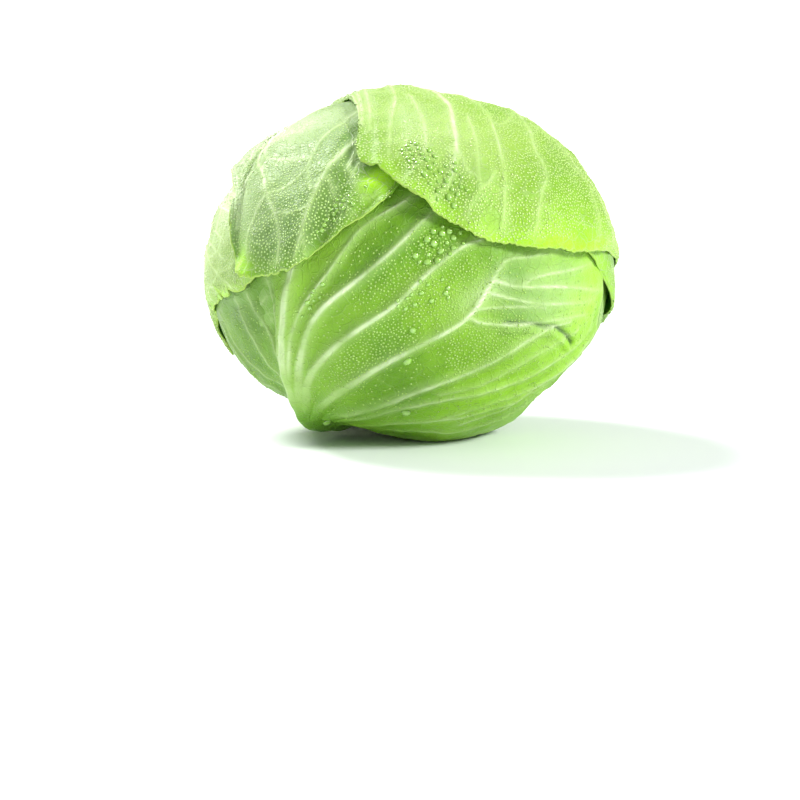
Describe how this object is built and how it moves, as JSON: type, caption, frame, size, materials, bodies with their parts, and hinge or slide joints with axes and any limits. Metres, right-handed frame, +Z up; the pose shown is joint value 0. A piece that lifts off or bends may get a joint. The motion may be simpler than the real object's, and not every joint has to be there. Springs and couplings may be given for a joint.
{
  "type": "green cabbage",
  "caption": "Round head of green cabbage, slightly flattened, with overlapping veined wrapper leaves, a packed heart and a cut stem; it rests on a flat patch.",
  "frame": {"origin": "on the floor, inside the flat patch that the head rests on", "axes": "+Z up; +X to the right and along the widest extent, seen from the front; the big front leaf faces -Y; the cut stem points down and towards -X"},
  "size_m": [0.1901, 0.1799, 0.1577],
  "materials": {
    "heart": "pale yellow-green packed leaves, satin",
    "stem": "pale green-white cut fibre, matt",
    "inner_leaf": "mid green leaf, satin",
    "wrapper_leaf": "bright green leaf with pale veins, satin wax",
    "pale_leaf": "light green leaf with pale veins, satin wax",
    "outer_leaf": "bright green leaf with pale veins, wet"
  },
  "bodies": {
    "root": {"heart": "heart", "stem_stump": "stem", "under_leaf": "inner_leaf", "back_leaf": "wrapper_leaf", "right_leaf": "wrapper_leaf", "front_leaf": "wrapper_leaf", "left_leaf": "pale_leaf", "over_left_leaf": "outer_leaf", "over_right_leaf": "outer_leaf"}
  },
  "joints": []
}
